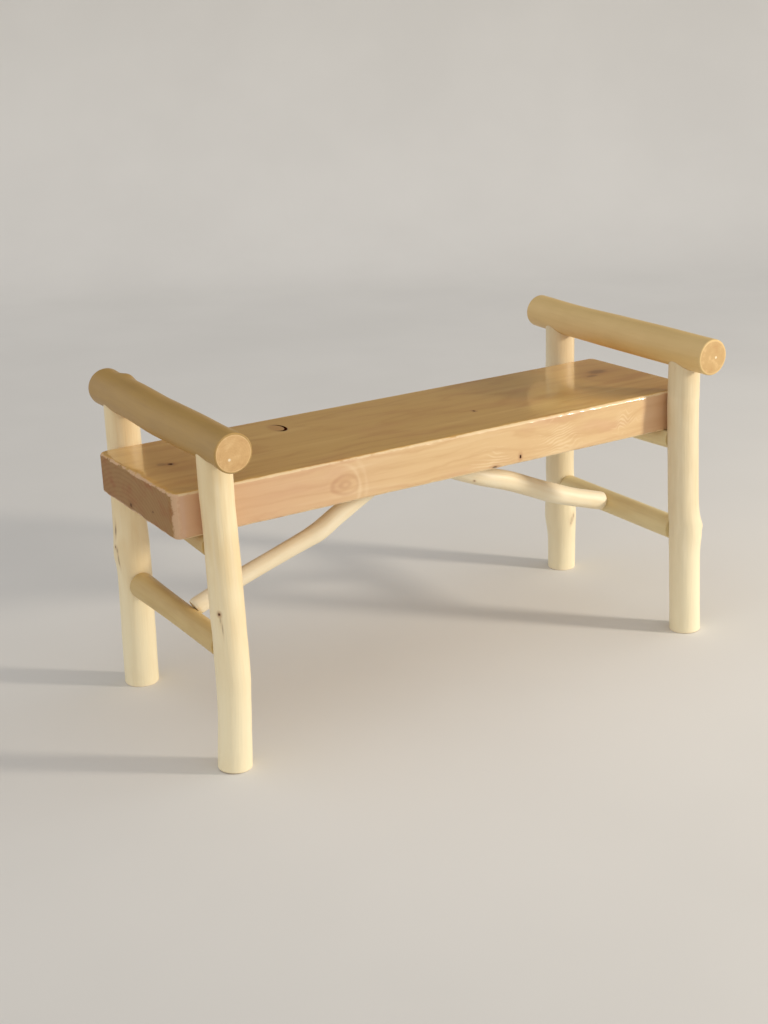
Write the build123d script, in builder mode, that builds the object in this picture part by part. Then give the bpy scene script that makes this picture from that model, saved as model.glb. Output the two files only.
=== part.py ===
"""Rustic log bench: a thick plank seat held between two peeled-log end frames.

Each end frame is a front and a back leg under a hand rail, tied by a flat-topped
seat bearer and a lower rung. Two crooked branches brace the seat from the rungs.
Millimetres. X runs along the bench, Y from front to back and Z up. The origin is
on the floor, under the middle of the bench.
"""
import math
import os
from typing import NamedTuple

from build123d import *

# Seat plank
seat_length = 1059.0
seat_width = 300.0
seat_thickness = 73.5
seat_top_height = 452.0
seat_corner_radius = 10.0
seat_edge_easing = 5.0
left_leg_inset = 60.7  # from the plank's left end to the left legs' line
right_leg_inset = 58.6

# Fits between the pieces
wood_gap = 0.3  # where a round log bears on another piece
tenon_fit = 0.3  # all round a tenon in its mortise
screw_fit = 0.15  # all round a screw in its hole
end_clearance = 1.0  # past the end of a tenon or a screw
brace_foot_gap = 0.5  # where a brace's sawn foot bears on its rung

# Heights that the logs are joined at
rung_height = 192.0
bearer_drop = 15.0  # from the seat's underside to the bearers' centre line
rail_rise = 80.0  # from the seat's top to the rails' centre line

# Legs
front_left_leg_radius = 26.9
back_left_leg_radius = 28.9
front_right_leg_radius = 28.4
back_right_leg_radius = 28.5
foot_easing = 2.0

# Hand rails
left_rail_radius = 31.5
right_rail_radius = 32.5
left_rail_front_reach = 246.0  # from the middle of the bench to a rail's end
left_rail_back_reach = 242.0
right_rail_front_reach = 250.0
right_rail_back_reach = 250.0
rail_end_easing = 3.0
rail_tenon_radius = 12.5
rail_tenon_rise = 8.0  # how far a leg's tenon passes the rail's centre line
rail_tenon_root = 50.0  # how far below the rail's centre line a tenon's root lies

# Rungs and bearers
left_rung_radius = 21.0
right_rung_radius = 21.8
bearer_radius = 21.0
shoulder_bite = 2.0  # how far a coped shoulder passes the face of its leg
cross_tenon_radius = 11.0
cross_tenon_length = 34.0
cross_tenon_root = 10.0

# Braces
left_brace_radius = 15.0
right_brace_radius = 18.0
left_brace_place = -30.0  # along Y
right_brace_place = 26.0
left_brace_bearing = 30.0  # degrees above level, around its rung
right_brace_bearing = 17.0
brace_head_rise = 11.0  # how far a brace's line passes the seat's underside

# Screws, all with a washer head and a square drive
screw_shank_radius = 2.4
screw_head_radius = 5.0
screw_head_height = 2.4
screw_tip_length = 5.0
screw_drive_width = 3.3
screw_drive_depth = 1.6
seat_screw_length = 64.0
seat_screw_spread = 80.0  # from the middle of a bearer to each of its screws
seat_screw_pocket = 6.0  # from a bearer's underside up to its screws' seats
brace_screw_length = 57.0
brace_head_screw_inset = 42.0  # along X, from the end of a brace's line
brace_head_screw_grip = 24.5  # from the screw's seat up to the plank
brace_foot_screw_run = 30.0  # along a brace, from its foot to the screw's seat
brace_foot_screw_cover = 5.5  # from a brace's side in to the screw's seat
pocket_length = 45.0  # long enough to leave a brace at any slant

# Places worked out from the sizes above
seat_underside = seat_top_height - seat_thickness
bearer_height = seat_underside - bearer_drop
rail_height = seat_top_height + rail_rise
left_leg_x = -seat_length / 2 + left_leg_inset
right_leg_x = seat_length / 2 - right_leg_inset


class Log(NamedTuple):
    """A peeled log: the line that it follows, its thickness and how it wanders.

    line is (x, y) for an upright log and (x, z) for one that lies from front to
    back. Each station is (place along the log, two drifts off the line, swell).
    """

    line: tuple
    radius: float
    stations: list


class Brace(NamedTuple):
    """A crooked branch from a rung up to the plank.

    foot and head are the (x, z) ends of a straight line at a place along Y, from
    inside the rung to inside the plank. bearing is the angle, in degrees above
    level, at which its sawn foot bears on the rung. Each station is (share of the
    way from foot to head, crook above the line, swell).
    """

    foot: tuple
    head: tuple
    place: float
    bearing: float
    radius: float
    stations: list


# Upright logs


def leg_line(x, side, radius):
    """Where a leg stands clear of the plank: side is -1 in front and 1 behind."""
    return (x, side * (seat_width / 2 + wood_gap + radius))


# Leg stations are (height, drift along X, drift along Y, swell).
front_left_leg = Log(
    leg_line(left_leg_x, -1, front_left_leg_radius),
    front_left_leg_radius,
    [
        (0.0, -9.8, -15.2, 0.7),
        (60.0, -5.4, -14.2, 0.0),
        (120.0, -1.4, -12.2, -0.1),
        (rung_height, 0.3, -9.8, 0.6),
        (bearer_height, 0.9, -3.0, -0.4),
        (seat_top_height, 0.0, 0.0, 0.0),
        (rail_height, 0.0, 0.0, 0.0),
    ],
)
back_left_leg = Log(
    leg_line(left_leg_x, 1, back_left_leg_radius),
    back_left_leg_radius,
    [
        (0.0, -1.3, 18.9, 1.4),
        (60.0, -0.4, 17.5, 1.3),
        (120.0, 0.4, 15.1, 1.0),
        (rung_height, 1.3, 11.9, 1.1),
        (rung_height + 58.0, -1.1, 9.1, 2.9),
        (rung_height + 90.0, -0.6, 7.7, 1.5),
        (bearer_height, -1.0, 3.6, -0.2),
        (seat_top_height, 0.0, 0.0, 0.0),
        (rail_height, 0.2, 0.0, -0.3),
    ],
)
front_right_leg = Log(
    leg_line(right_leg_x, -1, front_right_leg_radius),
    front_right_leg_radius,
    [
        (0.0, -5.0, -27.8, 0.3),
        (60.0, -5.9, -26.0, -0.1),
        (120.0, -5.2, -22.4, -0.1),
        (rung_height, -1.9, -18.0, 2.0),
        (rung_height + 58.0, -5.1, -13.7, -0.2),
        (bearer_height, -2.5, -5.8, -0.5),
        (seat_top_height, 0.0, 0.0, 0.0),
        (rail_height, 0.0, 0.0, 0.0),
    ],
)
back_right_leg = Log(
    leg_line(right_leg_x, 1, back_right_leg_radius),
    back_right_leg_radius,
    [
        (0.0, 17.1, 14.4, 0.0),
        (60.0, 16.9, 13.6, 0.0),
        (88.0, 14.9, 12.6, 1.5),
        (120.0, 12.1, 11.7, 4.0),
        (rung_height, 9.2, 9.4, 0.5),
        (rung_height + 58.0, 6.3, 7.1, 0.0),
        (bearer_height, 2.0, 3.5, 0.0),
        (seat_top_height, 0.0, 0.0, 0.0),
        (rail_height, 0.0, 0.0, 0.0),
    ],
)

# Logs from front to back. Rail stations are (place along Y, drift along X,
# drift along Z, swell).
left_rail = Log(
    (left_leg_x, rail_height),
    left_rail_radius,
    [
        (-left_rail_front_reach, 0.0, -3.0, -rail_end_easing),
        (-left_rail_front_reach + rail_end_easing, 0.0, -3.0, -0.2),
        (-195.0, 0.0, -0.8, -1.8),
        (-120.0, 0.0, -1.0, -0.2),
        (0.0, 0.0, -1.0, 0.7),
        (120.0, 0.0, 3.2, 0.4),
        (left_rail_back_reach - rail_end_easing, 0.0, 3.1, -0.3),
        (left_rail_back_reach, 0.0, 3.1, -rail_end_easing),
    ],
)
right_rail = Log(
    (right_leg_x, rail_height),
    right_rail_radius,
    [
        (-right_rail_front_reach, 0.0, -1.5, -rail_end_easing),
        (-right_rail_front_reach + rail_end_easing, 0.0, -1.5, -0.1),
        (-130.0, 0.0, 0.8, 0.2),
        (0.0, 0.0, 3.0, 0.0),
        (120.0, 0.0, 4.7, -0.9),
        (right_rail_back_reach - rail_end_easing, 0.0, 10.3, -1.2),
        (right_rail_back_reach, 0.0, 10.3, -rail_end_easing - 1.2),
    ],
)


def station_at(log, place):
    """The station of a log at a place that it has one."""
    return next(station for station in log.stations if station[0] == place)


def log_between(legs, line, radius, shape):
    """A log let in between a front and a back leg, at one of their stations.

    shape is (drift along X, drift along Z, swell) at its front, middle and back.
    """
    faces = []
    for leg, side in zip(legs, (-1, 1)):
        _, _, drift_y, swell = station_at(leg, line[1])
        faces.append(leg.line[1] + drift_y - side * (leg.radius + swell - shoulder_bite))
    front, back = faces
    places = (front, (front + back) / 2, back)
    stations = [(place, *drifts) for place, drifts in zip(places, shape)]
    return Log(line, radius, stations)


left_legs = (front_left_leg, back_left_leg)
right_legs = (front_right_leg, back_right_leg)
left_rung = log_between(
    left_legs,
    (left_leg_x, rung_height),
    left_rung_radius,
    [(0.3, 3.5, -0.2), (0.4, 3.8, -0.5), (0.4, 3.9, 2.2)],
)
right_rung = log_between(
    right_legs,
    (right_leg_x, rung_height),
    right_rung_radius,
    [(-1.2, -2.0, 0.0), (3.1, -2.1, -0.1), (7.3, -3.0, 0.7)],
)
left_bearer = log_between(
    left_legs,
    (left_leg_x, bearer_height),
    bearer_radius,
    [(1.0, -2.9, 0.0), (1.0, 4.0, 0.0), (0.0, 3.0, 0.0)],
)
right_bearer = log_between(
    right_legs,
    (right_leg_x, bearer_height),
    bearer_radius,
    [(-2.5, 0.8, 0.0), (-2.5, -1.3, 0.0), (-1.0, 0.8, 0.0)],
)

# Braces
left_brace = Brace(
    (left_leg_x - 15.2, rung_height + 10.7),
    (-36.0, seat_underside + brace_head_rise),
    left_brace_place,
    left_brace_bearing,
    left_brace_radius,
    [
        (0.0, 0.0, 0.4),
        (0.25, -4.8, -0.3),
        (0.433, -13.1, 0.0),
        (0.556, -19.0, 1.0),
        (0.679, -15.1, 1.6),
        (0.835, -8.2, 0.7),
        (1.0, 0.0, 1.0),
    ],
)
right_brace = Brace(
    (right_leg_x + 19.1, rung_height - 6.9),
    (-15.0, seat_underside + brace_head_rise),
    right_brace_place,
    right_brace_bearing,
    right_brace_radius,
    [
        (0.0, 0.0, 0.0),
        (0.191, -9.5, -0.1),
        (0.313, -12.0, 1.1),
        (0.412, -10.8, 0.4),
        (0.52, -9.4, 0.8),
        (0.668, -14.0, -0.4),
        (0.808, -13.3, -1.4),
        (1.0, 0.0, -2.0),
    ],
)


def brace_points(brace):
    """The points of a brace's crooked line, from foot to head."""
    foot_x, foot_z = brace.foot
    head_x, head_z = brace.head
    points = []
    for share, crook, _ in brace.stations:
        x = foot_x + share * (head_x - foot_x)
        z = foot_z + share * (head_z - foot_z) + crook
        points.append(Vector(x, brace.place, z))
    return points


# Round sections for the lofts


def upright_sections(log, grow=0.0):
    """The sections of an upright log, from the floor up."""
    sections = []
    for height, drift_x, drift_y, swell in log.stations:
        with BuildSketch(Plane.XY.offset(height)) as section:
            with Locations((log.line[0] + drift_x, log.line[1] + drift_y)):
                Circle(log.radius + swell + grow)
        sections.append(section.sketch)
    return sections


def cross_sections(log, grow=0.0):
    """The sections of a log that lies from front to back."""
    sections = []
    for place_y, drift_x, drift_z, swell in log.stations:
        with BuildSketch(Plane.XZ.offset(-place_y)) as section:
            with Locations((log.line[0] + drift_x, log.line[1] + drift_z)):
                Circle(log.radius + swell + grow)
        sections.append(section.sketch)
    return sections


def brace_sections(brace):
    """The sections of a brace, each square to its line there."""
    points = brace_points(brace)
    sections = []
    for index, (_, _, swell) in enumerate(brace.stations):
        before = points[max(index - 1, 0)]
        after = points[min(index + 1, len(points) - 1)]
        plane = Plane(origin=points[index], x_dir=(0, 1, 0), z_dir=after - before)
        with BuildSketch(plane) as section:
            Circle(brace.radius + swell)
        sections.append(section.sketch)
    return sections


# Tenons and screws. A shoulder or a screw's seat is a plane, with its normal
# towards the tenon's end or the screw's tip.


def shoulders(log):
    """The planes at a rung's or bearer's two ends."""
    planes = []
    for facing, (place_y, drift_x, drift_z, _) in zip((-1, 1), (log.stations[0], log.stations[-1])):
        origin = (log.line[0] + drift_x, place_y, log.line[1] + drift_z)
        planes.append(Plane(origin=origin, x_dir=(1, 0, 0), z_dir=(0, facing, 0)))
    return planes


def rail_tenon_root_plane(leg):
    """The level plane in a leg's top that its tenon grows from."""
    origin = (leg.line[0], leg.line[1], rail_height - rail_tenon_root)
    return Plane(origin=origin, x_dir=(1, 0, 0), z_dir=(0, 0, 1))


def bore(mouth, radius, depth):
    """Bore a round hole in the piece being made, from its mouth's plane."""
    with Locations(mouth):
        Cylinder(radius, depth, align=(Align.CENTER, Align.CENTER, Align.MIN), mode=Mode.SUBTRACT)


def bore_for_screw(seat, length, head_room):
    """Bore a screw's hole, and the pocket behind its seat that its head lies in."""
    bore(seat, screw_shank_radius + screw_fit, length + end_clearance)
    behind = Plane(origin=seat.origin, x_dir=seat.x_dir, z_dir=-seat.z_dir)
    bore(behind, screw_head_radius + screw_fit, head_room)


def bearer_screw_seats(x):
    """The two screw seats in a bearer's underside."""
    seat_z = bearer_height - bearer_radius + seat_screw_pocket
    return [Plane(origin=(x, side * seat_screw_spread, seat_z)) for side in (-1, 1)]


def brace_head_seat(brace):
    """The screw seat under a brace's upper end."""
    toward_foot = -1 if brace.foot[0] < brace.head[0] else 1
    seat_x = brace.head[0] + toward_foot * brace_head_screw_inset
    return Plane(origin=(seat_x, brace.place, seat_underside - brace_head_screw_grip))


def brace_foot_plane(brace, rung):
    """The plane that a brace's foot is sawn to, facing up the brace."""
    before, after = next(
        pair for pair in zip(rung.stations, rung.stations[1:]) if pair[1][0] > brace.place
    )
    share = (brace.place - before[0]) / (after[0] - before[0])
    _, drift_x, drift_z, swell = (a + share * (b - a) for a, b in zip(before, after))
    axis = Vector(rung.line[0] + drift_x, brace.place, rung.line[1] + drift_z)
    inward = 1 if brace.foot[0] < brace.head[0] else -1
    slant = math.radians(brace.bearing)
    facing = Vector(inward * math.cos(slant), 0, math.sin(slant))
    reach = rung.radius + swell + brace_foot_gap
    return Plane(origin=axis + facing * reach, x_dir=(0, 1, 0), z_dir=facing)


def brace_foot_seat(brace, rung):
    """The screw seat in a brace's back, aimed at the middle of its foot."""
    start, above = brace_points(brace)[:2]
    line = (above - start).normalized()
    cut = brace_foot_plane(brace, rung)
    foot = start + line * ((cut.origin - start).dot(cut.z_dir) / line.dot(cut.z_dir))
    offset = line * brace_foot_screw_run + Vector(0, brace.radius - brace_foot_screw_cover, 0)
    return Plane(origin=foot + offset, z_dir=-offset)


# Pieces


def make_seat_plank():
    """The seat: one thick plank with eased edges, bored from below for screws."""
    with BuildPart() as plank:
        with BuildSketch(Plane.XY.offset(seat_underside)):
            RectangleRounded(seat_length, seat_width, seat_corner_radius)
        extrude(amount=seat_thickness)
        rims = plank.faces().filter_by(Axis.Z).edges()
        fillet(rims, seat_edge_easing)
        for seat in bearer_screw_seats(left_leg_x) + bearer_screw_seats(right_leg_x):
            bore(seat, screw_shank_radius + screw_fit, seat_screw_length + end_clearance)
        for brace in (left_brace, right_brace):
            seat = brace_head_seat(brace)
            bore(seat, screw_shank_radius + screw_fit, brace_screw_length + end_clearance)
    return plank


def make_leg(log, rail, cross_logs):
    """A leg, coped to its rail around a round tenon, with a mortise for each cross log."""
    with BuildPart() as leg:
        loft(sections=upright_sections(log), ruled=True)
        chamfer(leg.faces().sort_by(Axis.Z)[0].edges(), foot_easing)
        loft(sections=cross_sections(rail, wood_gap), ruled=True, mode=Mode.SUBTRACT)
        with Locations(rail_tenon_root_plane(log)):
            tenon_length = rail_tenon_root + rail_tenon_rise
            Cylinder(rail_tenon_radius, tenon_length, align=(Align.CENTER, Align.CENTER, Align.MIN))
        side = 0 if log.line[1] < 0 else 1
        for cross_log in cross_logs:
            mouth = shoulders(cross_log)[side].offset(-cross_tenon_root)
            depth = cross_tenon_root + cross_tenon_length + end_clearance
            bore(mouth, cross_tenon_radius + tenon_fit, depth)
    return leg


def make_rail(log, legs):
    """A hand rail with eased ends, bored from below for its legs' tenons."""
    with BuildPart() as rail:
        loft(sections=cross_sections(log), ruled=True)
        for leg in legs:
            depth = rail_tenon_root + rail_tenon_rise + end_clearance
            bore(rail_tenon_root_plane(leg), rail_tenon_radius + tenon_fit, depth)
    return rail


def make_cross_log(log, legs, flat_height=None, screw_seats=()):
    """A rung or a bearer: coped shoulders and a round tenon at each end.

    A bearer also has a flat top at flat_height, and screws up through it.
    """
    with BuildPart() as cross_log:
        loft(sections=cross_sections(log), ruled=True)
        if flat_height is not None:
            split(bisect_by=Plane.XY.offset(flat_height), keep=Keep.BOTTOM)
        for leg in legs:
            loft(sections=upright_sections(leg, wood_gap), ruled=True, mode=Mode.SUBTRACT)
        for shoulder in shoulders(log):
            with Locations(shoulder.offset(-cross_tenon_root)):
                tenon_length = cross_tenon_root + cross_tenon_length
                Cylinder(cross_tenon_radius, tenon_length, align=(Align.CENTER, Align.CENTER, Align.MIN))
        for seat in screw_seats:
            bore_for_screw(seat, seat_screw_length, pocket_length)
    return cross_log


def make_rung(log, legs, brace):
    """A lower rung, with a pilot hole for the screw through its brace's foot."""
    rung = make_cross_log(log, legs)
    with rung:
        seat = brace_foot_seat(brace, log)
        bore(seat, screw_shank_radius + screw_fit, brace_screw_length + end_clearance)
    return rung


def make_brace(brace, rung):
    """A crooked brace: flat under the plank, sawn to bear on its rung, screwed to both."""
    with BuildPart() as branch:
        loft(sections=brace_sections(brace), ruled=True)
        split(bisect_by=Plane.XY.offset(seat_underside), keep=Keep.BOTTOM)
        split(bisect_by=brace_foot_plane(brace, rung), keep=Keep.TOP)
        bore_for_screw(brace_head_seat(brace), brace_screw_length, pocket_length)
        bore_for_screw(brace_foot_seat(brace, rung), brace_screw_length, pocket_length)
    return branch


def make_screws(seats, length):
    """A group of like screws, each a separate solid, at their seats."""
    with BuildPart() as screws:
        for seat in seats:
            with BuildSketch(Plane(origin=seat.origin, x_dir=seat.x_dir, z_dir=-seat.y_dir)):
                with BuildLine():
                    Polyline(
                        (0, -screw_head_height),
                        (screw_head_radius, -screw_head_height),
                        (screw_head_radius, 0),
                        (screw_shank_radius, 0),
                        (screw_shank_radius, length - screw_tip_length),
                        (0, length),
                        close=True,
                    )
                make_face()
            revolve(axis=Axis(seat.origin, seat.z_dir))
            with BuildSketch(seat.offset(-screw_head_height)):
                Rectangle(screw_drive_width, screw_drive_width)
            extrude(amount=screw_drive_depth, mode=Mode.SUBTRACT)
    return screws


pieces = {
    "seat_plank": make_seat_plank(),
    "front_left_leg": make_leg(front_left_leg, left_rail, (left_rung, left_bearer)),
    "back_left_leg": make_leg(back_left_leg, left_rail, (left_rung, left_bearer)),
    "front_right_leg": make_leg(front_right_leg, right_rail, (right_rung, right_bearer)),
    "back_right_leg": make_leg(back_right_leg, right_rail, (right_rung, right_bearer)),
    "left_top_rail": make_rail(left_rail, left_legs),
    "right_top_rail": make_rail(right_rail, right_legs),
    "left_rung": make_rung(left_rung, left_legs, left_brace),
    "right_rung": make_rung(right_rung, right_legs, right_brace),
    "left_seat_bearer": make_cross_log(
        left_bearer, left_legs, seat_underside, bearer_screw_seats(left_leg_x)
    ),
    "right_seat_bearer": make_cross_log(
        right_bearer, right_legs, seat_underside, bearer_screw_seats(right_leg_x)
    ),
    "left_brace": make_brace(left_brace, left_rung),
    "right_brace": make_brace(right_brace, right_rung),
    "seat_screws": make_screws(
        bearer_screw_seats(left_leg_x) + bearer_screw_seats(right_leg_x), seat_screw_length
    ),
    "brace_head_screws": make_screws(
        [brace_head_seat(left_brace), brace_head_seat(right_brace)], brace_screw_length
    ),
    "brace_foot_screws": make_screws(
        [brace_foot_seat(left_brace, left_rung), brace_foot_seat(right_brace, right_rung)],
        brace_screw_length,
    ),
}

os.makedirs("parts", exist_ok=True)
for name, piece in pieces.items():
    piece.part.label = name
    export_step(piece.part, f"parts/{name}.step")
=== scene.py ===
"""Rustic log bench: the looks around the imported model.

Peeled logs are swept along their wandering lines, then fitted to each other where
they meet. The plank, the ends of the logs and the screws get solid wood and metal
finishes. The settings and the stage are in metres and the logs in millimetres, all in
the model's own frame.
"""

import math
from typing import NamedTuple

import bmesh
import bpy
import numpy as np
from bpy.props import FloatProperty, FloatVectorProperty, IntProperty, PointerProperty
from mathutils import Matrix, Vector, noise


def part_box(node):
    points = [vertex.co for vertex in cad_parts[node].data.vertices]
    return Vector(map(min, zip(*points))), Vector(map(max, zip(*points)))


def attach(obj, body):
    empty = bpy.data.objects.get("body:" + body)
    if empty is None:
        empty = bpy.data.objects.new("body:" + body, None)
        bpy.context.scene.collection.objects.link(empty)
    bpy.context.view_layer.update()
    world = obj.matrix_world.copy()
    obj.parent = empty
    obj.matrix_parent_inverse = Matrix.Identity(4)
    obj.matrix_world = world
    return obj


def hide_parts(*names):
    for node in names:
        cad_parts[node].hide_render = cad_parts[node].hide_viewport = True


bl_info = {
    "name": "Rustic log bench",
    "version": (1, 0, 0),
    "blender": (4, 5, 0),
    "location": "3D View > Sidebar > Log Bench",
    "description": "Dresses a rustic log bench in peeled, sawn and planed pine",
    "category": "Object",
}

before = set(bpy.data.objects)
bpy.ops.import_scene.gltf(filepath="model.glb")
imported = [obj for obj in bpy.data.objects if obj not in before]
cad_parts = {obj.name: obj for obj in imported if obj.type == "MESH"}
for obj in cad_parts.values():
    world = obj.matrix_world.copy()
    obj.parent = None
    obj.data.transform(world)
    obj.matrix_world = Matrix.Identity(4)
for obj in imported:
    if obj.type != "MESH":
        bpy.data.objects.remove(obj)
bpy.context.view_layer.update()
SEAT_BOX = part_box("seat_plank")
MM = 0.001

# The logs' common sizes and places, in millimetres
LEFT_LEG_X = -468.8
RIGHT_LEG_X = 470.9
SEAT_UNDERSIDE = 378.5
TENON_RADIUS = 11.0
TENON_LENGTH = 20.0
# A tenon's first ring lies this far past the ring round its flat shoulder.
SHOULDER_STEP = 0.15
# The legs' tops stay this far off the rails, and their coping fades out over this length.
BEARING_GAP = 0.3
COPE_FADE = 90.0
# Where the pith lies in the ends of the legs, rungs and bearers, from the middle
PITH = (4.0, -6.0)


# Sizes and colours that a user would change


def linear(hex_colour):
    """An sRGB hex colour as the linear RGBA that shaders take."""
    channels = [int(hex_colour[i : i + 2], 16) / 255 for i in (1, 3, 5)]
    return [c / 12.92 if c <= 0.04045 else ((c + 0.055) / 1.055) ** 2.4 for c in channels] + [1.0]


def colour_property(name, description, default):
    """A colour setting, kept linear as shaders take it."""
    return FloatVectorProperty(
        name=name,
        description=description,
        subtype="COLOR",
        size=4,
        min=0.0,
        max=1.0,
        default=linear(default),
    )


def length_property(name, description, default):
    """A length setting, in metres."""
    return FloatProperty(name=name, description=description, default=default, unit="LENGTH")


class LogSettings(bpy.types.PropertyGroup):
    """How the peeled logs look."""

    sides: IntProperty(name="Sides", description="Faces around a log", default=84, min=24, max=160)
    ring_step: length_property("Ring Step", "Distance between the rings of a log's mesh", 0.004)
    flat_depth: length_property("Flat Depth", "How deep the drawknife's long flats are", 0.0011)
    flat_width: length_property("Flat Width", "Width of one drawknife flat around a log", 0.026)
    flat_length: length_property("Flat Length", "Length of one drawknife flat along a log", 0.150)
    left_leg_wood: colour_property("Left Leg Wood", "Sapwood of the left legs", "#FBE9BE")
    left_leg_streak: colour_property("Left Leg Streaks", "Their yellower streaks", "#ECD09A")
    # The right legs' wood is partly a greyer tone and partly painted shade: darker than the left
    # legs', against the key light that falls stronger on them.
    right_leg_wood_and_shade: colour_property("Right Leg Wood", "Sapwood of the right legs", "#E9D9B4")
    right_leg_streak_and_shade: colour_property("Right Leg Streaks", "Their yellower streaks", "#DBC59A")
    # Painted light: the foot wood whitens the legs' low parts, as though more light reached them.
    foot_painted_light: colour_property("Foot Wood", "Whiter wood toward the legs' feet", "#FFF6D4")
    # Painted light and shade: the two rails are one wood, the left painted darker and the right
    # paler, for the stronger light on the right rail.
    left_rail_wood_shaded: colour_property("Left Rail Wood", "Wood of the left hand rail", "#BA9553")
    left_rail_streak_shaded: colour_property("Left Rail Streaks", "Its streaks", "#AB884F")
    right_rail_wood_lit: colour_property("Right Rail Wood", "Wood of the right hand rail", "#E2C284")
    right_rail_streak_lit: colour_property("Right Rail Streaks", "Its streaks", "#D5B475")
    left_cross_wood: colour_property("Left Rung Wood", "Left rung and bearer", "#D7BB7D")
    left_cross_streak: colour_property("Left Rung Streaks", "Their streaks", "#C3A262")
    right_cross_wood: colour_property("Right Rung Wood", "Right rung and bearer", "#E8D8A6")
    right_cross_streak: colour_property("Right Rung Streaks", "Their streaks", "#D6BF87")
    brace_wood: colour_property("Brace Wood", "Near-white sapwood of the braces", "#FAF0D4")
    brace_streak: colour_property("Brace Streaks", "Their yellower streaks", "#EDD8AC")
    bark: colour_property("Inner Bark", "Brown of the inner bark left round a knot", "#AE7840")
    knot: colour_property("Knot", "Heart of a small knot", "#4C250B")
    end_wood: colour_property("End Wood", "Wood of a sawn end", "#D8B077")
    # Painted shade: the right rail's sawn ends are a darker copy of the end wood, against the
    # stronger light on them.
    right_end_wood_shaded: colour_property("Right End Wood", "Sawn ends of the right rail", "#CAA76F")
    end_ring: colour_property("End Rings", "Darker wood of a sawn end", "#BD8B55")
    end_rim: colour_property("End Rim", "Pale wood round a sawn end", "#EFCF98")
    pale: colour_property("Pale Streak", "Palest streaks and a log's pith", "#FBEBCB")


class PlankSettings(bpy.types.PropertyGroup):
    """How the seat plank looks."""

    left_corner_radius: length_property(
        "Left Corner Radius", "Rounding of the plank's two upright corners on the left", 0.017
    )
    right_corner_radius: length_property(
        "Right Corner Radius", "Rounding of the plank's two upright corners on the right", 0.010
    )
    edge_easing: length_property(
        "Edge Easing", "Rounding of the plank's long and short edges", 0.005
    )
    ring_spacing: length_property(
        "Ring Spacing", "Distance from one dark ring to the next on the faces", 0.0156
    )
    early: colour_property("Early Wood", "Pale spring growth", "#E0BE8B")
    late: colour_property("Late Wood", "Darker summer growth", "#CDA26F")
    pale: colour_property("Pale Figure", "Palest bands and torn strokes", "#F7E0B4")
    # The blush is partly pinker wood and partly painted shade, where the front legs' shadows fall
    # near the plank's ends.
    blush_and_shade: colour_property("Blush", "Pinker wood toward the ends", "#D6A684")
    swirl: colour_property("Knot Rings", "Brown wood in and round a knot", "#B98559")
    # Painted shade: the top tint darkens the upward faces as though little light fell on them, and
    # the end tint is partly end grain's darker soak, partly painted shade.
    top: colour_property("Top Tint", "What the varnish darkens the top by", "#FBECBC")
    ends: colour_property("End Tint", "What the varnish darkens the ends by", "#C1BA91")
    # The worn edge colour is partly pale worn wood and partly a painted highlight on the eased
    # edges.
    worn_and_highlit: colour_property("Worn Edge", "Pale wood where the edges are eased", "#EFD8AB")
    knot: colour_property("Knot", "Heart of a knot", "#361602")


class StageSettings(bpy.types.PropertyGroup):
    """The studio around the bench."""

    key_strength: FloatProperty(
        name="Key Light", description="Strength of the soft key light", default=86.0, unit="POWER"
    )
    fill_strength: FloatProperty(
        name="Fill Light",
        description="Strength of the even light from all round",
        default=0.77,
        subtype="FACTOR",
    )
    floor: colour_property("Floor", "Colour of the floor and backdrop", "#E4E2DD")


# Node trees


def add(tree, kind, inputs=(), **settings):
    """Add a node with its settings.

    Its inputs come by name or in order, each a value, or a socket or node to link from.
    """
    node = tree.nodes.new(kind)
    for name, value in settings.items():
        setattr(node, name, value)
    for key, value in inputs.items() if isinstance(inputs, dict) else enumerate(inputs):
        if isinstance(value, bpy.types.Node):
            value = next(output for output in value.outputs if output.enabled)
        if isinstance(value, bpy.types.NodeSocket):
            tree.links.new(value, node.inputs[key])
        else:
            node.inputs[key].default_value = value
    return node


def new_material(name):
    """An empty node material and its tree."""
    material = bpy.data.materials.new(name)
    material.use_nodes = True
    tree = material.node_tree
    tree.nodes.clear()
    return material, tree


def grain_pattern(tree, points, size, seed, detail=3.0):
    """A seeded cloudy pattern, whose patches have the given size in mm each way."""
    metres = [length * MM for length in size]
    scaled = add(tree, "ShaderNodeVectorMath", (points, metres), operation="DIVIDE")
    return add(
        tree,
        "ShaderNodeTexNoise",
        {"Vector": scaled, "W": seed, "Scale": 1.0, "Detail": detail, "Roughness": 0.55},
        noise_dimensions="4D",
    )


def stain(tree, colour, *tints):
    """Stain a colour by each (tint, pattern, none, full, most) in turn.

    A tint shows where its pattern goes from none to full, by at most the given share.
    """
    for tint, pattern, none, full, most in tints:
        share = add(
            tree,
            "ShaderNodeMapRange",
            {"Value": pattern, "From Min": none, "From Max": full, "To Min": 0.0, "To Max": most},
            interpolation_type="SMOOTHSTEP",
        )
        colour = add(tree, "ShaderNodeMix", {0: share, 6: colour, 7: tint}, data_type="RGBA")
    return colour


def distance_from(tree, points, place, weights=(1.0, 1.0, 1.0)):
    """How far each point is from a place in mm, in metres weighed along each axis."""
    metres = [length * MM for length in place]
    away = add(tree, "ShaderNodeVectorMath", (points, metres), operation="SUBTRACT")
    weighed = add(tree, "ShaderNodeVectorMath", (away, weights), operation="MULTIPLY")
    return add(tree, "ShaderNodeVectorMath", (weighed,), operation="LENGTH")


def weighted_sum(tree, total, *shares):
    """Add to a value each (pattern, weight) in turn."""
    for pattern, weight in shares:
        total = add(tree, "ShaderNodeMath", (pattern, weight, total), operation="MULTIPLY_ADD")
    return total


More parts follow.
